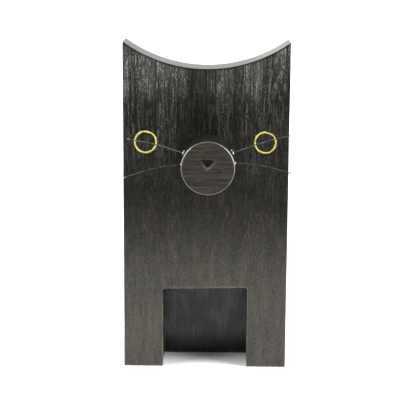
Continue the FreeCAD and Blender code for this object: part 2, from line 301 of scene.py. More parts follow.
def board(name, columns, heights, corners, radii, opening, y_front, y_back):
    """A closed board: a front and a back sheet of thin cells, and a wall round them with eased edges.

    heights[i, j] is the Z of row j in column i. The corners are (column, row), counterclockwise seen from
    the front. The opening is (first column, last column, rows) of the cells left out, or None.
    """
    used = np.ones(heights.shape, bool)
    solid = np.ones((heights.shape[0] - 1, heights.shape[1] - 1), bool)
    if opening:
        first, last, rows = opening
        used[first + 1:last, :rows] = False
        solid[first:last, :rows] = False
    path, places = walk(corners)
    outer = np.array([(columns[i], heights[i, j]) for i, j in path])
    ease = np.where(outer[:, 1] < front_low.z + 0.1 * MM, FOOT_EASE, EASE)
    inner = inset(outer, ease)
    for place, radius in zip(places, radii):
        round_corner(outer, place, radius)

    sheet = np.full(heights.shape, -1)
    sheet[used] = np.arange(used.sum())
    rim = np.array([sheet[i, j] for i, j in path])
    flat = np.stack([np.broadcast_to(columns[:, None], heights.shape)[used], heights[used]], 1)
    flat[rim] = inner
    count = len(flat)

    def at_depth(outline, y):
        return np.stack([outline[:, 0], np.broadcast_to(y, len(outline)), outline[:, 1]], 1)

    turns = np.linspace(0, math.pi / 2, EASE_STEPS + 1)[1:]
    wall = [(math.sin(turn), y_front + ease * (1 - math.cos(turn))) for turn in turns]
    wall += [(1.0, y) for y in spaced(y_front + EASE, y_back - EASE, WALL_ROW)[1:-1]]
    wall += [(math.sin(turn), y_back - ease * (1 - math.cos(turn))) for turn in turns[::-1]]
    points = [at_depth(flat, y_front), at_depth(flat, y_back)]
    points += [at_depth(inner + (outer - inner) * share, y) for share, y in wall]
    rings = [2 * count + len(path) * k + np.arange(len(path)) for k in range(len(wall))]
    rings = [rim, *rings, rim + count]

    quads = np.stack([sheet[:-1, :-1][solid], sheet[1:, :-1][solid],
                      sheet[1:, 1:][solid], sheet[:-1, 1:][solid]], 1)
    faces = [quads, quads[:, ::-1] + count]
    for ring, deeper in zip(rings, rings[1:]):
        faces.append(np.stack([ring, deeper, np.roll(deeper, -1), np.roll(ring, -1)], 1))
    piece = make_object(name, np.concatenate(points), np.concatenate(faces))

    wear = np.zeros(len(piece.data.vertices))
    for ring in (*rings[:EASE_STEPS + 1], *rings[-EASE_STEPS - 1:]):
        wear[ring] = 1.0
    keep_value(piece, "wear", wear)
    return piece


def cut_grain(piece, seed):
    """Cuts the open grain into a board. Keeps the grooves and the ends of the grain, for the material."""
    points, normals = points_of(piece), points_of(piece, "normal")
    across = points[:, 0] * math.cos(LAYER_SLANT) + points[:, 1] * math.sin(LAYER_SLANT)
    height = points[:, 2]
    sizes = (0.42, 26), (1.3, 50), (0.42, 9), (4.5, 80)
    lines, broad, breaks, bands = [grain_noise(across, height, width * MM, length * MM, seed + k)
                                   for k, (width, length) in enumerate(sizes)]
    groove = smooth_step(0.40, 0.72, 0.5 * lines + 0.25 * broad + 0.25 * breaks) * (0.45 + 0.55 * bands)
    open_grain = smooth_step(SMOOTH_BELOW, OPEN_ABOVE, height)
    depth = WORN_GROOVE + (DEEP_GROOVE - WORN_GROOVE) * open_grain
    end_grain = np.abs(normals[:, 2])
    depth *= 1 - 0.9 * smooth_step(0.3, 0.7, end_grain)
    joint = (np.abs(points[:, 1] - front_high.y) < 0.1 * MM) & (height < rear_high.z)
    depth[joint | (height < 0.5 * MM)] = 0
    keep_value(piece, "groove", groove)
    keep_value(piece, "end_grain", smooth_step(0.5, 0.8, end_grain))
    sink(piece, groove * depth)


def make_front_board():
    """The board with the scooped top. Keeps how far its stain has worn off, for the material; the dark above
    is partly painted shade of the glasses.
    """
    columns = columns_between([front_low.x, CUTOUT_LEFT, CUTOUT_RIGHT, front_high.x])
    half_width = (front_high.x - front_low.x) / 2
    scoop_centre = front_high.z + math.sqrt(SCOOP_RADIUS ** 2 - half_width ** 2)
    top = scoop_centre - np.sqrt(SCOOP_RADIUS ** 2 - columns ** 2)
    lintel = np.interp(columns, [CUTOUT_LEFT, CUTOUT_RIGHT], [CUTOUT_TOP_LEFT, CUTOUT_TOP_RIGHT])
    low_rows = round(CUTOUT_TOP_LEFT / ROW)
    high_rows = round((front_high.z - CUTOUT_TOP_LEFT) / ROW)
    low = np.linspace(0, 1, low_rows + 1)[None, :] * lintel[:, None]
    high = lintel[:, None] + np.linspace(0, 1, high_rows + 1)[None, 1:] * (top - lintel)[:, None]
    heights = np.concatenate([low, high], 1)
    left, right = [int(np.argmin(np.abs(columns - edge))) for edge in (CUTOUT_LEFT, CUTOUT_RIGHT)]
    last, rows = len(columns) - 1, low_rows + high_rows
    corners = [(0, 0), (left, 0), (left, low_rows), (right, low_rows), (right, 0),
               (last, 0), (last, rows), (0, rows)]
    radii = [FOOT_RADIUS, FOOT_RADIUS, LEFT_CORNER_RADIUS, RIGHT_CORNER_RADIUS, FOOT_RADIUS,
             FOOT_RADIUS, EAR_RADIUS, EAR_RADIUS]
    piece = board("front_board_wood", columns, heights, corners, radii, (left, right, low_rows),
                  front_low.y, front_high.y)
    keep_value(piece, "worn", 1 - smooth_step(WORN_BELOW, DARK_ABOVE, points_of(piece)[:, 2]))
    cut_grain(piece, 11)
    return piece


def make_rear_board():
    columns = columns_between([rear_low.x, rear_high.x])
    rows = round(rear_high.z / ROW)
    heights = np.repeat(np.linspace(rear_low.z, rear_high.z, rows + 1)[None, :], len(columns), 0)
    last = len(columns) - 1
    corners = [(0, 0), (last, 0), (last, rows), (0, rows)]
    piece = board("rear_board_wood", columns, heights, corners, [FOOT_RADIUS] * 4, None,
                  rear_low.y, rear_high.y)
    cut_grain(piece, 31)
    return piece


# ---------------- the nose

def outline_point(corners, angle):
    """Where a ray from the middle at that angle leaves a polygon."""
    direction = Vector((math.cos(angle), math.sin(angle)))
    for start, end in zip(corners, corners[1:] + corners[:1]):
        side = end - start
        cross = direction.x * side.y - direction.y * side.x
        if abs(cross) < 1e-12:
            continue
        reach = (start.x * side.y - start.y * side.x) / cross
        share = (start.x * direction.y - start.y * direction.x) / cross
        if reach > 0 and -1e-6 <= share <= 1 + 1e-6:
            return direction * reach
    raise ValueError("the ray misses the polygon")


def nose_rings():
    """Rings from the mouth to the rim and down the side, each as (outline round the mouth's middle, y), and
    the number of the first ring of the mouth's wall, the face, the rim and the side."""
    middle = Vector(MOUTH_MIDDLE)
    edge = [Vector(corner) * MM - middle for corner in MOUTH_EDGE]
    floor = [Vector(corner) * MM - middle for corner in MOUTH_FLOOR]
    angles = np.linspace(0, math.tau, NOSE_POINTS, endpoint=False)
    for corner in edge:
        angle = math.atan2(corner.y, corner.x) % math.tau
        angles[np.argmin(np.abs(angles - angle))] = angle
    mouth = np.array([outline_point(edge, angle) for angle in angles])
    mouth_floor = np.array([outline_point(floor, angle) for angle in angles])
    direction = np.stack([np.cos(angles), np.sin(angles)], 1)
    disc = direction * (nose_radius - NOSE_EASE) - np.array(middle)

    rings, starts = [], []
    for share in (0.25, 0.6, 1.0):
        rings.append((mouth_floor * share, MOUTH_DEPTH))
    starts.append(len(rings))
    for share in (0.06, 0.5, 0.94):
        rings.append((mouth_floor + (mouth - mouth_floor) * share, MOUTH_DEPTH * (1 - share)))
    starts.append(len(rings))
    for share in np.linspace(0, 1, 34) ** 1.15:
        rings.append((mouth + (disc - mouth) * share, 0.0))
    starts.append(len(rings))
    for turn in np.linspace(0, math.pi / 2, 5)[1:]:
        radius = nose_radius - NOSE_EASE + NOSE_EASE * math.sin(turn)
        rings.append((direction * radius - np.array(middle), NOSE_EASE * (1 - math.cos(turn))))
    starts.append(len(rings))
    for y in spaced(NOSE_EASE, nose_high.y - nose_low.y, 0.6 * MM)[1:]:
        rings.append((direction * nose_radius - np.array(middle), y))
    return rings, starts


def cut_nose_grain(piece, ring_count, starts):
    """Cuts the nose's own grain. Keeps its grooves, the parts painted in shade (the mouth's floor and the
    side) and its worn edges, for the material.
    """
    wall, face, rim, side = starts
    points = points_of(piece)
    on_face = points[:, 1] - nose_low.y < 0.01 * MM
    along, across = points[:, 0], points[:, 2]
    fine = grain_noise(across, along, 0.5 * MM, 5 * MM, 51)
    broad = grain_noise(across, along, 1.3 * MM, 11 * MM, 52)
    groove = smooth_step(0.35, 0.8, 0.6 * fine + 0.4 * broad)
    ring = np.arange(len(points)) // NOSE_POINTS
    free = on_face & (ring > face + 1) & (ring < rim - 2)
    on_side = (ring > side) & (ring < ring_count - 1)
    depth = np.where(free, NOSE_GROOVE, 0) + np.where(on_side, NOSE_GROOVE * 0.5, 0)
    wear = ((ring >= rim) & (ring < side - 1)).astype(float)
    wear += 0.9 * ((ring >= wall) & (ring <= face + 1))
    keep_value(piece, "groove", groove)
    keep_value(piece, "shaded", 0.8 * (ring < wall) + 1.0 * (ring >= side))
    keep_value(piece, "wear", wear)
    sink(piece, groove * depth)


def make_nose():
    """A plug with a disc face: its rings joined by cells, and closed in the mouth and at the back."""
    rings, starts = nose_rings()
    shift = np.array([nose_centre.x + MOUTH_MIDDLE[0], nose_low.y, nose_centre.z + MOUTH_MIDDLE[1]])
    points = [np.stack([ring[:, 0], np.full(NOSE_POINTS, y), ring[:, 1]], 1) + shift for ring, y in rings]
    index = np.arange(NOSE_POINTS)
    faces = []
    for k in range(len(rings) - 1):
        near, far = index + k * NOSE_POINTS, index + (k + 1) * NOSE_POINTS
        faces += np.stack([near, far, np.roll(far, -1), np.roll(near, -1)], 1).tolist()
    count = NOSE_POINTS * len(rings)
    points.append(np.array([shift + (0, MOUTH_DEPTH, 0)]))
    faces += [[count, a, b] for a, b in zip(index, np.roll(index, -1))]
    back = index + (len(rings) - 1) * NOSE_POINTS
    points.append(np.array([[nose_centre.x, nose_high.y, nose_centre.z]]))
    faces += [[count + 1, b, a] for a, b in zip(back, np.roll(back, -1))]
    piece = make_object("nose_plug", np.concatenate(points), faces, sharp_above=35)
    cut_nose_grain(piece, len(rings), starts)
    return piece


# ---------------- whiskers and glue

def whisker_route(side, climb, runs, turns):
    """The route's corner points, from the bottom of the hole in the nose outwards."""
    climb = math.radians(climb)
    radius = nose_radius - WHISKER_DEPTH
    points = [Vector((nose_centre.x + side * radius * math.cos(climb), nose_high.y - WHISKER_FROM_BOARD,
                      nose_centre.z + radius * math.sin(climb)))]
    for run, turn in zip(runs, (*turns, 0)):
        flat = run * MM * math.cos(WHISKER_SWEEP)
        forward = run * MM * math.sin(WHISKER_SWEEP)
        points.append(points[-1] + Vector((side * flat * math.cos(climb), -forward, flat * math.sin(climb))))
        climb += math.radians(turn)
    return points


def smooth_line(points):
    """Points along one smooth curve that the route's points steer."""
    curve = bpy.data.curves.new("route", "CURVE")
    curve.dimensions = "3D"
    curve.resolution_u = 16
    spline = curve.splines.new("NURBS")
    spline.points.add(len(points) - 1)
    for point, place in zip(spline.points, points):
        point.co = (*place, 1)
    spline.order_u = 3
    spline.use_endpoint_u = True
    holder = bpy.data.objects.new("route", curve)
    mesh = bpy.data.meshes.new_from_object(holder)
    line = [vertex.co.copy() for vertex in mesh.vertices]
    bpy.data.objects.remove(holder)
    bpy.data.curves.remove(curve)
    bpy.data.meshes.remove(mesh)
    return line


def tube(name, line, radii, sides):
    """A round filament along a line, with its own radius at every point and closed ends."""
    points = []
    side = Vector((0, -1, 0))
    for k, place in enumerate(line):
        ahead = (line[min(k + 1, len(line) - 1)] - line[max(k - 1, 0)]).normalized()
        side = (side - ahead * side.dot(ahead)).normalized()
        other = ahead.cross(side)
        for corner in range(sides):
            angle = math.tau * corner / sides
            points.append(place + (side * math.cos(angle) + other * math.sin(angle)) * radii[k])
    return make_object(name, points, closed_cells(len(line), sides))


def evenly(line, step):
    """The same line with evenly spaced points, and how far along it each point lies."""
    places = np.array(line)
    lengths = np.concatenate([[0], np.cumsum(np.linalg.norm(np.diff(places, axis=0), axis=1))])
    wanted = np.linspace(0, lengths[-1], int(lengths[-1] / step) + 2)
    even = np.stack([np.interp(wanted, lengths, places[:, axis]) for axis in range(3)], 1)
    return [Vector(point) for point in even], wanted


def make_whisker(name, number):
    """A bent filament of uneven thickness with a melted bead at its free end."""
    line, lengths = evenly(smooth_line(whisker_route(*WHISKERS[name])), FILAMENT_STEP)
    outside = lengths > WHISKER_DEPTH - 0.5 * MM
    line = [place for place, shown in zip(line, outside) if shown]
    lengths = lengths[outside]
    left = lengths[-1] - lengths
    wobble = grain_noise(np.full(len(lengths), number * 7.5), lengths, 1.0, 3 * MM, 71)
    radii = WHISKER_RADIUS * (0.86 + 0.14 * wobble)
    bead = np.sqrt(np.clip(WHISKER_TIP ** 2 - (left - WHISKER_TIP) ** 2, 0, None))
    with_bead = np.maximum(bead, np.where(left < WHISKER_TIP, 0, radii))
    radii = np.where(left < WHISKER_TIP * 1.6, with_bead, radii)
    radii[-1] = 0.05 * MM
    piece = tube(name + "_filament", line, radii, FILAMENT_SIDES)
    keep_value(piece, "tip", np.repeat(1 - smooth_step(WHISKER_TIP, 3 * WHISKER_TIP, left), FILAMENT_SIDES))
    return piece


def drop(points, faces, place, axes, radii, phase):
    """Adds one lopsided drop, wider at its foot than at its top. The first axis points away from the nose."""
    out, sideways, up = axes
    rings, around = 13, 18
    faces.extend(cells(rings, around, len(points)))
    for ring in range(rings):
        turn = math.pi * ring / (rings - 1)
        height, reach = math.cos(turn), math.sin(turn)
        reach *= 1.0 - 0.35 * max(height, 0)
        for corner in range(around):
            angle = math.tau * corner / around
            bulge = 1 + 0.12 * math.sin(2 * angle + phase) + 0.08 * math.sin(3 * angle + 2 * phase)
            aside = sideways * math.cos(angle) * reach * bulge * radii[1]
            upwards = up * math.sin(angle) * reach * bulge * radii[2]
            points.append(place + out * height * radii[0] + aside + upwards)


def make_glue():
    """Dried glue where the whiskers leave the nose: a drop round each whisker and a few crumbs beside it."""
    points, faces = [], []
    rng = np.random.default_rng(91)
    for number, (side, climb, _, _) in enumerate(WHISKERS.values()):
        for crumb in range(CRUMBS_AND_DROP):
            shift, lift = (0, 0) if crumb == 0 else rng.uniform(-1, 1, 2) * (CRUMB_SHIFT, CRUMB_TURN)
            size = GLUE_DROP if crumb == 0 else rng.uniform(*CRUMB_SIZES) * MM
            angle = math.radians(climb) + lift
            out = Vector((side * math.cos(angle), 0, math.sin(angle)))
            axes = out, Vector((0, 1, 0)), out.cross(Vector((0, 1, 0)))
            place = Vector((nose_centre.x, nose_high.y - WHISKER_FROM_BOARD + shift, nose_centre.z))
            place += out * nose_radius
            drop(points, faces, place, axes, (size, size * 0.9, size * 1.1), number + 2 * crumb)
    return make_object("glue_drops", points, faces)


# ---------------- painted eyes

def make_eye(name, node, start, gap, seed):
    """A ring painted by hand: one brush stroke round, whose width and radius wander.

    The gap is the angle left open between the stroke's ends, below zero where they overlap.
    """
    low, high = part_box(node)
    centre = (low + high) / 2
    radius = (high.z - low.z) / 2 - PAINT_WIDTH / 2 - PAINT_MARGIN
    around, across = 160, 9
    rng = np.random.default_rng(seed)
    waves = [(k, rng.normal(0, 0.035 * MM), rng.random() * math.tau) for k in range(2, 9)]
    widths = [(k, rng.normal(0, 0.05), rng.random() * math.tau) for k in range(1, 12)]
    points = []
    for step in range(around + 1):
        share = step / around
        angle = start + share * (math.tau - gap)
        wander = sum(size * math.sin(k * angle + phase) for k, size, phase in waves)
        wide = 1 + sum(size * math.sin(k * angle + phase) for k, size, phase in widths)
        end = min(share, 1 - share) * around
        taper = math.sqrt(min(1.0, (end + 0.4) / 4))
        half = PAINT_WIDTH / 2 * np.clip(wide, 0.75, 1.12) * taper
        middle = radius + min(wander, 0.0) - PAINT_MARGIN
        for k in range(across):
            offset = -1 + 2 * k / (across - 1)
            dome = (1 - offset ** 4) * (0.8 + 0.2 * math.sin(5 * offset + 3 * angle)) * taper
            reach = middle + offset * half
            y = front_low.y + PAINT_SINK - (PAINT_SINK + PAINT_RISE) * dome
            points.append((centre.x + reach * math.cos(angle), y, centre.z + reach * math.sin(angle)))
        points.append((centre.x + middle * math.cos(angle), front_low.y + 2 * PAINT_SINK,
                       centre.z + middle * math.sin(angle)))
    return make_object(name, points, closed_cells(around + 1, across + 1))


# ---------------- materials

class Nodes:
    """A node tree in the making. Each method adds a node and gives back the socket it puts out."""

    def __init__(self, tree):
        self.tree = tree

    def add(self, kind, inputs=(), **settings):
        node = self.tree.nodes.new("ShaderNode" + kind)
        for name, value in settings.items():
            setattr(node, name, value)
        for name, value in dict(inputs).items():
            self.feed(node.inputs[name], value)
        return node

    def feed(self, socket, value):
        if isinstance(value, bpy.types.NodeSocket):
            self.tree.links.new(value, socket)
        else:
            socket.default_value = value

    def ramp(self, value, low, high, start=0.0, end=1.0):
        """Start below low, end above high, and a smooth turn in between."""
        inputs = {"Value": value, "From Min": low, "From Max": high, "To Min": start, "To Max": end}
        return self.add("MapRange", inputs, interpolation_type="SMOOTHSTEP").outputs[0]

    def math(self, operation, first, second=0.0):
        return self.add("Math", {0: first, 1: second}, operation=operation).outputs[0]

    def times(self, first, *others):
        for other in others:
            first = self.math("MULTIPLY", first, other)
        return first

    def plus(self, first, *others):
        for other in others:
            first = self.math("ADD", first, other)
        return first

    def minus(self, first, second):
        return self.math("SUBTRACT", first, second)

    def away(self, value, centre):
        """How far a value lies from a centre, on either side."""
        return self.math("ABSOLUTE", self.minus(value, centre))

    def weighted(self, *pairs):
        """The sum of some sockets, each times its own weight."""
        return self.plus(*[self.times(socket, weight) for socket, weight in pairs])

    def axis(self, vector, name):
        return self.add("SeparateXYZ", {0: vector}).outputs[name]


class Look(Nodes):
    """One material, built in the frame's own coordinates. Its colour is laid on in layers."""

    def __init__(self, name):
        self.material = bpy.data.materials.new(name)
        self.material.use_nodes = True
        super().__init__(self.material.node_tree)
        self.shader = self.tree.nodes["Principled BSDF"]
        self.place = self.add("TexCoord").outputs["Object"]
        self.colour = None

    def noise(self, size, detail=2.0, roughness=0.5, shift=0.0):
        """Noise whose cells have that size in mm along X, Y and Z."""
        scale = [1 / (length * MM) for length in size]
        moved = (shift, shift * 0.7, shift * 1.3)
        place = self.add("Mapping", {"Vector": self.place, "Scale": scale, "Location": moved}).outputs[0]
        inputs = {"Vector": place, "Scale": 1.0, "Detail": detail, "Roughness": roughness}
        return self.add("TexNoise", inputs).outputs[0]

    def strips(self, across, along, width, length, seed):
        """Noise in straight strips of that width in mm, each with cells of that length along it."""
        strip = self.math("FLOOR", self.times(across, 1 / (width * MM)))
        cell = self.times(along, 1 / (length * MM))
        place = self.add("CombineXYZ", {0: self.times(strip, 7.31), 1: cell, 2: seed}).outputs[0]
        return self.add("TexNoise", {"Vector": place, "Scale": 1.0, "Detail": 1.0}).outputs[0]

    def blend(self, share, first, second):
        """A number between two others."""
        return self.add("Mix", {0: share, 2: first, 3: second}).outputs[0]

    def mix(self, share, first, second):
        """A colour between two others."""
        return self.add("Mix", {0: share, 6: first, 7: second}, data_type="RGBA").outputs[2]

    def lay(self, share, colour):
        """Lays a colour over those already there, as thickly as the share says."""
        self.colour = self.mix(share, self.colour, colour)

    def stored(self, name):
        return self.add("Attribute", attribute_name=name).outputs["Fac"]

    def bump(self, height, distance, strength=1.0):
        node = self.add("Bump", {"Height": height, "Distance": distance, "Strength": strength})
        self.feed(self.shader.inputs["Normal"], node.outputs[0])

    def surface(self, **values):
        """Gives the shader the laid colour and these values. Their names have _ for a space."""
        self.feed(self.shader.inputs["Base Color"], self.colour)
        for name, value in values.items():
            self.feed(self.shader.inputs[name.replace("_", " ")], value)


def rgb(red, green, blue):
    return (red, green, blue, 1.0)


class BoardLook(Look):
    """A board's material, with what both boards share: grain, rubbed edges and sawn ends."""

    def __init__(self, name):
        super().__init__(name)
        self.x, self.y, self.z = [self.axis(self.place, letter) for letter in "XYZ"]
        self.across = self.plus(self.times(self.x, math.cos(LAYER_SLANT)),
                                self.times(self.y, math.sin(LAYER_SLANT)))
        self.fine = self.upright(0.42, 8.0, 9)
        self.mottle = self.noise((1.6, 1.6, 4.5), detail=4, roughness=0.7, shift=41)
        self.scratches = self.noise((22, 2.8, 22), detail=4, roughness=0.6, shift=37)
        self.groove = self.stored("groove")
        self.wear = self.stored("wear")
        self.end_grain = self.stored("end_grain")

    def upright(self, width, length, seed):
        """Grain that runs up the board in strips, slanting as the year rings do."""
        return self.strips(self.across, self.z, width, length, seed)

    def lay_rubbed_edges(self, strength):
        """Brown wood along the eased edges, in places, below the ears."""
        rubbed = self.noise((3, 3, 9), detail=3, shift=31)
        edge = self.times(self.wear, self.ramp(rubbed, 0.35, 0.65, 0.1, strength))
        edge = self.times(edge, self.ramp(self.z, 100 * MM, 120 * MM, 1.0, 0.0))
        self.lay(edge, rgb(0.13, 0.108, 0.078))

    def lay_sawn_ends(self):
        """Scratched saw cuts on the ends of the grain, with painted reflection: paler at the back and on the
        right ear.
        """
        below = self.colour
        cut = self.ramp(self.scratches, 0.36, 0.64)
        self.colour = self.mix(cut, rgb(0.018, 0.018, 0.016), rgb(0.095, 0.095, 0.089))
        pores = self.noise((0.45, 0.45, 0.45), detail=1, shift=83)
        self.lay(self.ramp(pores, 0.38, 0.5, 0.7, 0.0), rgb(0.004, 0.004, 0.0035))
        # Painted reflection: darker towards the front edge, paler on the right ear.
        self.lay(self.ramp(self.y, -8 * MM, 6 * MM, 0.6, 0.0), rgb(0.01, 0.01, 0.009))
        self.lay(self.ramp(self.x, 14 * MM, 30 * MM, 0.0, 0.7), rgb(0.18, 0.18, 0.17))
        shown = self.times(self.end_grain, self.minus(1.0, self.wear))
        self.colour = self.mix(shown, below, self.colour)

    def relief(self, *pairs):
        """A shallow relief of the weighted grain, and of the scratches on the sawn ends."""
        self.bump(self.blend(self.end_grain, self.weighted(*pairs), self.scratches), 0.08 * MM, 0.5)


class FrontBoardLook(BoardLook):
    """Dark stained hardwood: black with silvery fibres where the grain stands open, worn olive brown with
    golden flecks towards the feet. The silver, its glints and grey dashes are partly painted highlight, and
    the darker middle is partly painted shade of the glasses. The marks are strongest on the face."""

    def __init__(self):
        super().__init__("front_board_look")
        self.worn = self.stored("worn")
        behind_face = self.minus(self.y, front_low.y)
        self.marked = self.ramp(behind_face, 0.2 * MM, 2.5 * MM, 1.0, SIDE_CONTRAST)
        self.wide = self.upright(1.1, 16, 3)
        self.dashes = self.upright(0.3, 1.3, 87)
        self.speckle = self.noise((0.4, 0.45, 0.85), roughness=0.6, shift=19)
        self.grit = self.noise((0.36, 0.4, 0.5), detail=1, shift=61)
        self.patches = self.noise((5, 9, 24), shift=23)
        self.tinge = self.ramp(self.noise((1.5, 2, 4), shift=67), 0.38, 0.62)
        self.find_silver()
        self.lay_stain()
        self.lay_gold()
        self.lay_silver()
        self.lay_haze()
        self.lay_glints_and_pores()
        self.lay_grains()
        self.lay_edges()
        self.surface(Roughness=self.ramp(self.mottle, 0.3, 0.7, 0.28, 0.38), IOR=1.43)
        self.relief((self.fine, 0.4), (self.speckle, 0.6))

    def find_silver(self):
        """Silvery wood, partly painted highlight, shows high up, in gathered streaks, beside the dark heart
        and the dark band. Below the ear it fades towards the right edge."""
        spread = self.ramp(self.z, 105 * MM, 128 * MM, HEART_SPREAD, 0.0)
        from_heart = self.math("ABSOLUTE", self.plus(self.minus(self.x, DARK_HEART), spread))
        from_band = self.away(self.x, DARK_BAND)
        self.beside = self.times(self.ramp(self.minus(from_heart, spread), 3 * MM, 7 * MM, 0.22, 1.0),
                                 self.ramp(from_band, 1.5 * MM, 4 * MM, 0.58))
        self.faded = self.math("MAXIMUM", self.ramp(self.x, 23 * MM, 30 * MM, 1.0, 0.3),
                               self.ramp(self.z, 124 * MM, 135 * MM))
        bands = self.noise((2.6, 3, 60), roughness=0.6)
        self.gathered = self.times(self.ramp(bands, 0.36, 0.58, 0.45), self.beside, self.faded)
        self.high_up = self.times(self.ramp(self.z, SMOOTH_BELOW, OPEN_ABOVE, 0.05),
                                  self.ramp(self.z, SILVER_FROM, SILVER_FULL, 0.28), self.marked)

    def lay_stain(self):
        """The stain: mottled, with a reddish tinge, and plainer on the sides and the back."""
        tone = self.weighted((self.wide, 0.18), (self.fine, 0.16), (self.speckle, 0.48), (self.patches, 0.18))
        # The dark above the worn feet is partly painted shade of the glasses hanging across the middle.
        dark = self.mix(self.worn, rgb(0.002, 0.002, 0.0014), rgb(0.012, 0.0114, 0.0074))
        light = self.mix(self.worn, rgb(0.0084, 0.0086, 0.0062), rgb(0.0545, 0.0545, 0.043))
        self.colour = self.mix(self.ramp(tone, 0.41, 0.6), dark, light)
        reddish = self.ramp(self.tinge, 0.4, 1.0, 0.0, 0.45)
        self.lay(self.times(reddish, self.ramp(self.worn, 0.0, 1.0, 0.25)), rgb(0.05, 0.034, 0.023))
        plain = self.mix(self.worn, rgb(0.005, 0.005, 0.0038), rgb(0.032, 0.0285, 0.0215))
        self.lay(self.ramp(self.marked, SIDE_CONTRAST, 1.0, 0.55, 0.0), plain)

    def lay_gold(self):
        """Golden flecks in patches, mostly on the lower half."""
        golden = self.times(self.ramp(self.upright(0.34, 6, 29), 0.54, 0.66),
                            self.ramp(self.patches, 0.44, 0.62, 0.08),
                            self.ramp(self.z, 62 * MM, 100 * MM, 0.62, 0.14), self.marked)
        self.lay(golden, self.mix(self.tinge, rgb(0.084, 0.058, 0.025), rgb(0.082, 0.048, 0.031)))

    def lay_silver(self):
        """Silvery fibres on the ridges between the grooves, partly painted highlight where the side lights
        glance off them.
        """
        thin = self.upright(0.24, 4.0, 13)
        bright = self.weighted((self.fine, 0.4), (self.wide, 0.2), (thin, 0.25), (self.speckle, 0.15))
        raised = self.minus(1.0, self.times(self.groove, 0.9))
        silver = self.times(self.ramp(bright, 0.48, 0.6, 0.0, 0.56), self.gathered, raised, self.high_up)
        self.lay(silver, self.mix(self.tinge, rgb(0.265, 0.25, 0.205), rgb(0.235, 0.25, 0.255)))

    def lay_haze(self):
        """A pale haze towards the top, and down the pale strip."""
        hazy = self.times(self.ramp(self.z, SILVER_FROM, SILVER_FULL, 0.0, 0.8),
                          self.times(self.beside, self.faded), self.ramp(self.x, 4 * MM, 12 * MM, 1.0, 0.7))
        strip = self.times(self.ramp(self.away(self.x, PALE_STRIP), 2 * MM, 6 * MM, 0.62, 0.0),
                           self.ramp(self.z, SILVER_FROM, SILVER_FULL, 0.04))
        haze = self.mix(self.tinge, rgb(0.113, 0.105, 0.08), rgb(0.098, 0.107, 0.105))
        self.lay(self.plus(hazy, strip), haze)

    def lay_glints_and_pores(self):
        """Bright hairs as painted highlight: glints high up, with black pores between them."""
        hairs = self.weighted((self.upright(0.3, 9, 47), 0.55), (self.dashes, 0.3), (self.grit, 0.15))
        glints = self.times(self.ramp(hairs, 0.54, 0.6), self.times(self.gathered, self.high_up))
        self.lay(glints, rgb(0.42, 0.42, 0.4))
        pores = self.weighted((self.upright(0.3, 10, 53), 0.75), (self.grit, 0.25))
        pores = self.times(self.ramp(pores, 0.38, 0.46, 0.85, 0.0), self.high_up)
        self.lay(pores, rgb(0.0035, 0.0036, 0.0028))

    def lay_grains(self):
        """Black pits, grey dashes high up as painted highlight, pale specks, and then the grooves' dark
        floors.
        """
        pits = self.times(self.ramp(self.grit, 0.36, 0.5, 0.8, 0.0),
                          self.ramp(self.z, 25 * MM, 60 * MM, 0.6), self.marked)
        self.lay(pits, rgb(0.0032, 0.0032, 0.0024))
        # Painted highlight: grey dashes on the open grain high up, like the glints.
        grains = self.weighted((self.upright(0.3, 5.0, 101), 0.55), (self.dashes, 0.2), (self.grit, 0.25))
        grains = self.times(self.ramp(grains, 0.5, 0.58), self.ramp(self.x, -14 * MM, 10 * MM, 0.48, 0.68),
                            self.times(self.high_up, self.beside))
        self.lay(grains, rgb(0.25, 0.25, 0.228))
        specks = self.noise((0.38, 0.42, 1.2), detail=1, shift=89)
        specks = self.times(self.ramp(specks, 0.51, 0.64),
                            self.ramp(self.z, 30 * MM, 95 * MM, 0.15, 0.54), self.marked)
        self.lay(specks, self.mix(self.worn, rgb(0.03, 0.03, 0.024), rgb(0.086, 0.081, 0.068)))
        open_grain = self.ramp(self.z, SMOOTH_BELOW, OPEN_ABOVE, 0.0, 0.9)
        self.lay(self.times(self.groove, open_grain), rgb(0.0045, 0.0046, 0.0038))

    def lay_edges(self):
        """Brown edges below, black edges at the top, and the sawn ends."""
        self.lay_rubbed_edges(0.6)
        top_edge = self.times(self.wear, self.ramp(self.z, 108 * MM, 118 * MM, 0.0, 0.95))
        self.lay(top_edge, rgb(0.004, 0.0041, 0.0035))
        self.lay_sawn_ends()


def rear_board_look():
    """The same wood under a glossy black finish, with drips and clouds in the cut-out, and a scuffed foot
    painted darker towards the floor as shade.
    """
    look = BoardLook("rear_board_look")
    speckle = look.noise((0.4, 0.45, 0.6), roughness=0.6, shift=19)
    drips = look.noise((2.2, 2.2, 16), detail=3, roughness=0.6, shift=59)
    clouds = look.noise((6, 6, 9), shift=73)
    tone = look.weighted((look.mottle, 0.14), (drips, 0.22), (clouds, 0.4), (speckle, 0.12),
                         (look.fine, 0.12))
    # Painted shade: the lighter tone darkens over the foot, towards the floor.
    above_painted_shade = look.ramp(look.z, 2 * MM, SCUFF_AND_SHADE_TOP)
    light = look.mix(above_painted_shade, rgb(0.007, 0.007, 0.0072), rgb(0.042, 0.0422, 0.0424))
    look.colour = look.mix(look.ramp(tone, 0.44, 0.57), rgb(0.003, 0.003, 0.0031), light)
    look.lay(look.ramp(look.y, 10 * MM, 12 * MM, 0.0, 0.72), rgb(0.013, 0.013, 0.0125))
    look.lay(look.times(look.groove, 0.7), rgb(0.0015, 0.0015, 0.0015))
    look.lay_rubbed_edges(0.75)
    look.lay_sawn_ends()
    sheen = look.plus(look.ramp(look.mottle, 0.3, 0.7, 0.18, 0.28),
                      look.ramp(look.z, 2 * MM, SCUFF_AND_SHADE_TOP, 0.24, 0.0))
    look.surface(Roughness=sheen, IOR=1.36)
    look.relief((look.fine, 0.4), (speckle, 0.6), (look.mottle, 1.0))
    return look.material


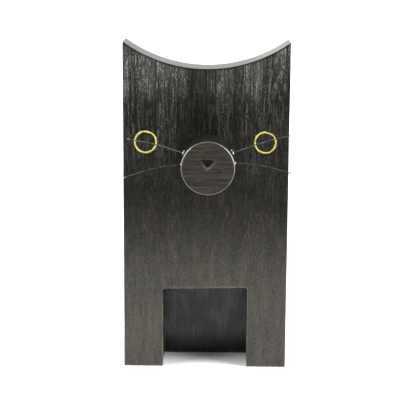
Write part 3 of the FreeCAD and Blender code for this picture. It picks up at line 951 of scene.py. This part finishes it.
def nose_look():
    """Stained hardwood, a little warmer, with its grain lying across. Its worn rim is rubbed pale, with a
    painted highlight on both sides of the place where the glasses rest."""
    look = Look("nose_wood_look")
    wear = look.stored("wear")
    shaded = look.stored("shaded")
    along, depth, height = [look.axis(look.place, letter) for letter in "XYZ"]
    across = look.plus(height, look.times(depth, 0.3))
    streaks = look.noise((15, 0.9, 0.7), detail=3, roughness=0.6, shift=5)
    lines = look.strips(across, along, 0.3, 13, 11)
    dashes = look.strips(across, along, 0.3, 2.2, 17)
    speckle = look.noise((0.55, 0.4, 0.4), roughness=0.6, shift=23)
    warm = look.noise((5, 4, 1.6), shift=19)
    streaked = look.ramp(streaks, 0.35, 0.65)
    look.colour = look.mix(streaked, rgb(0.02, 0.0178, 0.0125), rgb(0.042, 0.038, 0.028))
    look.lay(look.ramp(warm, 0.5, 0.64, 0.0, 0.75), rgb(0.056, 0.033, 0.02))
    look.lay(look.ramp(warm, 0.36, 0.46, 0.7, 0.0), rgb(0.034, 0.036, 0.018))
    dark = look.weighted((lines, 0.6), (dashes, 0.15), (speckle, 0.25))
    look.lay(look.ramp(dark, 0.51, 0.58, 0.0, 0.95), rgb(0.0035, 0.0029, 0.0023))
    look.lay(look.ramp(speckle, 0.38, 0.5, 0.5, 0.0), rgb(0.008, 0.007, 0.005))
    # Painted shade: the mouth's floor and the nose's side are darkened.
    look.lay(look.times(shaded, 0.85), rgb(0.003, 0.0028, 0.002))
    look.lay(look.times(look.stored("groove"), 0.4), rgb(0.01, 0.0085, 0.007))
    rubbed = look.noise((4, 4, 4), shift=29)
    edge = look.times(wear, look.ramp(rubbed, 0.36, 0.62, 0.4, 0.95))
    # Painted highlight: the rim is paler at its upper left and right, where the side lights glint on it.
    painted_glare = look.times(look.ramp(look.away(along, nose_centre.x), 4 * MM, 8 * MM),
                      look.ramp(height, BRIDGE_REST - 4 * MM, BRIDGE_REST + 2 * MM))
    look.lay(edge, look.mix(painted_glare, rgb(0.13, 0.126, 0.11), rgb(0.4, 0.39, 0.36)))
    sheen = look.plus(look.ramp(streaks, 0.3, 0.7, 0.38, 0.52), look.times(shaded, -0.09))
    look.surface(Roughness=look.minus(sheen, look.times(wear, 0.32)))
    look.bump(look.weighted((dark, 0.6), (streaks, 0.4)), 0.1 * MM, 0.5)
    return look.material


def filament_look():
    """Dark nylon with a dull shine, a little uneven along its length, and greyer on the upper pair: the lower
    pair is painted darker as shade.
    """
    look = Look("whisker_filament_look")
    along = look.noise((3, 3, 3))
    # Painted shade: the lower pair of whiskers gets the darker colour.
    upper = look.ramp(look.axis(look.place, "Z"), SHADED_BELOW - 1 * MM, SHADED_BELOW + 1 * MM)
    grey = look.mix(look.ramp(along, 0.35, 0.65), rgb(0.044, 0.042, 0.036), rgb(0.094, 0.09, 0.082))
    black = look.mix(look.ramp(along, 0.35, 0.65), rgb(0.026, 0.025, 0.022), rgb(0.054, 0.052, 0.046))
    look.colour = look.mix(upper, black, grey)
    look.lay(look.stored("tip"), rgb(0.2, 0.195, 0.18))
    look.surface(Roughness=look.ramp(along, 0.3, 0.7, 0.24, 0.34), IOR=1.38)
    look.bump(along, 0.03 * MM, 0.3)
    return look.material


def glue_look():
    """Dried clear glue: a pale shiny skin with faint cloudiness."""
    look = Look("glue_look")
    cloud = look.noise((0.5, 0.5, 0.5), detail=3)
    look.colour = look.mix(cloud, rgb(0.17, 0.167, 0.157), rgb(0.46, 0.455, 0.43))
    look.surface(Roughness=look.ramp(cloud, 0.3, 0.7, 0.08, 0.22), Coat_Weight=0.6)
    look.bump(cloud, 0.05 * MM, 0.3)
    return look.material


def paint_look():
    """Lemon yellow paint laid on by brush, thinner and duller in places."""
    look = Look("eye_paint_look")
    strokes = look.noise((0.5, 0.5, 0.5), detail=3, roughness=0.6)
    thin = look.noise((1.6, 1.6, 1.6), shift=7)
    look.colour = look.mix(look.ramp(strokes, 0.35, 0.65), rgb(0.6, 0.47, 0.045), rgb(0.74, 0.65, 0.18))
    look.lay(look.ramp(thin, 0.48, 0.66, 0.0, 0.7), rgb(0.36, 0.26, 0.045))
    look.surface(Roughness=look.ramp(strokes, 0.3, 0.7, 0.3, 0.45))
    look.bump(strokes, 0.08 * MM, 0.4)
    return look.material


def dowel_look():
    """Plain beech: pale, with short dark flecks along the pin."""
    look = Look("dowel_beech_look")
    grain = look.noise((0.8, 6, 0.8), detail=3)
    flecks = look.noise((0.25, 1.6, 0.25), detail=1, shift=5)
    look.colour = look.mix(look.ramp(grain, 0.35, 0.65), rgb(0.44, 0.29, 0.16), rgb(0.6, 0.43, 0.26))
    look.lay(look.ramp(flecks, 0.6, 0.72, 0.0, 0.7), rgb(0.22, 0.12, 0.06))
    look.surface(Roughness=look.ramp(grain, 0.3, 0.7, 0.5, 0.65))
    look.bump(grain, 0.05 * MM, 0.4)
    return look.material


# ---------------- stage, light and camera

def make_floor():
    """A sheet of white paper that runs far back, and ends a little in front of the stand."""
    side, far = 5.0, 6.0
    corners = [(-side, PAPER_EDGE, 0), (side, PAPER_EDGE, 0), (side, far, 0), (-side, far, 0)]
    floor = make_object("floor", corners, [[0, 1, 2, 3]])
    look = Look("floor_paper")
    look.colour = look.mix(look.noise((300, 300, 300)), rgb(0.84, 0.84, 0.84), rgb(0.86, 0.86, 0.855))
    look.surface(Roughness=0.9, Specular_IOR_Level=0.1)
    floor.data.materials.append(look.material)


def side_lights(nodes, across, ahead, rise):
    """A tall soft light on each side, a little in front of the stand. The right one is stronger."""
    turn = nodes.math("ARCTAN2", nodes.math("ABSOLUTE", across), nodes.times(ahead, -1.0))
    wide = nodes.times(nodes.ramp(turn, math.radians(44), math.radians(66)),
                       nodes.ramp(turn, math.radians(80), math.radians(96), 1.0, 0.0))
    tall = nodes.times(nodes.ramp(rise, 0.05, 0.28), nodes.ramp(rise, 0.87, 0.96, 1.0, 0.0))
    return nodes.times(wide, tall, nodes.ramp(across, -0.1, 0.1, LEFT_LIGHT, RIGHT_LIGHT))


def make_world():
    """A white backdrop, a light on each side and a dark room behind the camera, which itself sees white."""
    world = bpy.data.worlds.new("studio")
    bpy.context.scene.world = world
    world.use_nodes = True
    nodes = Nodes(world.node_tree)
    direction = nodes.add("TexCoord").outputs["Generated"]
    across, ahead, rise = [nodes.axis(direction, name) for name in "XYZ"]
    backdrop = nodes.ramp(rise, 0.1, 0.55, BACKDROP_LOW, BACKDROP_HIGH)
    strength = nodes.times(nodes.ramp(ahead, 0.0, 0.4), backdrop)
    strength = nodes.plus(strength, nodes.ramp(rise, 0.12, 0.4, ROOM_LOW, ROOM_HIGH))
    strength = nodes.times(strength, nodes.ramp(rise, -0.03, 0.0, 0.04))
    light = world.node_tree.nodes["Background"]
    nodes.feed(light.inputs["Color"], rgb(1.0, 1.0, 1.0))
    nodes.feed(light.inputs["Strength"], nodes.plus(strength, side_lights(nodes, across, ahead, rise)))
    seen = nodes.add("Background", {"Color": rgb(0.96, 0.96, 0.96)})
    for_camera = nodes.add("LightPath").outputs["Is Camera Ray"]
    choice = nodes.add("MixShader", {0: for_camera, 1: light.outputs[0], 2: seen.outputs[0]})
    nodes.feed(world.node_tree.nodes["World Output"].inputs["Surface"], choice.outputs[0])


def make_camera():
    """The camera looks at the face from a little above, slightly down."""
    level = math.cos(CAMERA_PITCH)
    ahead = Vector((math.sin(CAMERA_YAW) * level, math.cos(CAMERA_YAW) * level, -math.sin(CAMERA_PITCH)))
    right = Vector((math.cos(CAMERA_YAW), -math.sin(CAMERA_YAW), 0))
    up = right.cross(ahead)
    turned_right = right * math.cos(CAMERA_ROLL) - up * math.sin(CAMERA_ROLL)
    turned_up = right * math.sin(CAMERA_ROLL) + up * math.cos(CAMERA_ROLL)
    camera = bpy.data.cameras.new("camera")
    camera.lens = CAMERA_LENS
    camera.sensor_width = SENSOR_WIDTH
    camera.clip_start = 0.01
    camera.clip_end = 50.0
    holder = bpy.data.objects.new("camera", camera)
    bpy.context.scene.collection.objects.link(holder)
    turn = Matrix((turned_right, turned_up, -ahead)).transposed().to_4x4()
    holder.matrix_world = Matrix.Translation(CAMERA_PLACE) @ turn
    bpy.context.scene.camera = holder


def make_stage():
    """Floor and light. The plain view transform leaves the colours as they are."""
    bpy.context.scene.view_settings.view_transform = "Standard"
    make_floor()
    make_world()


# ---------------- the object

def make_pieces():
    paint = paint_look()
    finish_piece(make_front_board(), FrontBoardLook().material, "board_wood", "front_board")
    finish_piece(make_rear_board(), rear_board_look(), "board_wood", "rear_board")
    finish_piece(make_nose(), nose_look(), "nose_wood", "nose")
    filament = filament_look()
    for number, name in enumerate(WHISKERS):
        finish_piece(make_whisker(name, number), filament, "whisker_filament", name)
    finish_piece(make_glue(), glue_look(), "glue", "whisker_glue_beads")
    for side, start, gap, seed in (("left", -115, -0.16, 3), ("right", 28, -0.1, 8)):
        ring = make_eye(side + "_eye_paint", side + "_eye_ring", math.radians(start), gap, seed)
        finish_piece(ring, paint, "eye_paint", side + "_eye_ring")
    dowel = dowel_look()
    for node in ("nose_dowel", "rear_board_dowels"):
        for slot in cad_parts[node].material_slots:
            slot.material = dowel


make_camera()
make_stage()
make_pieces()
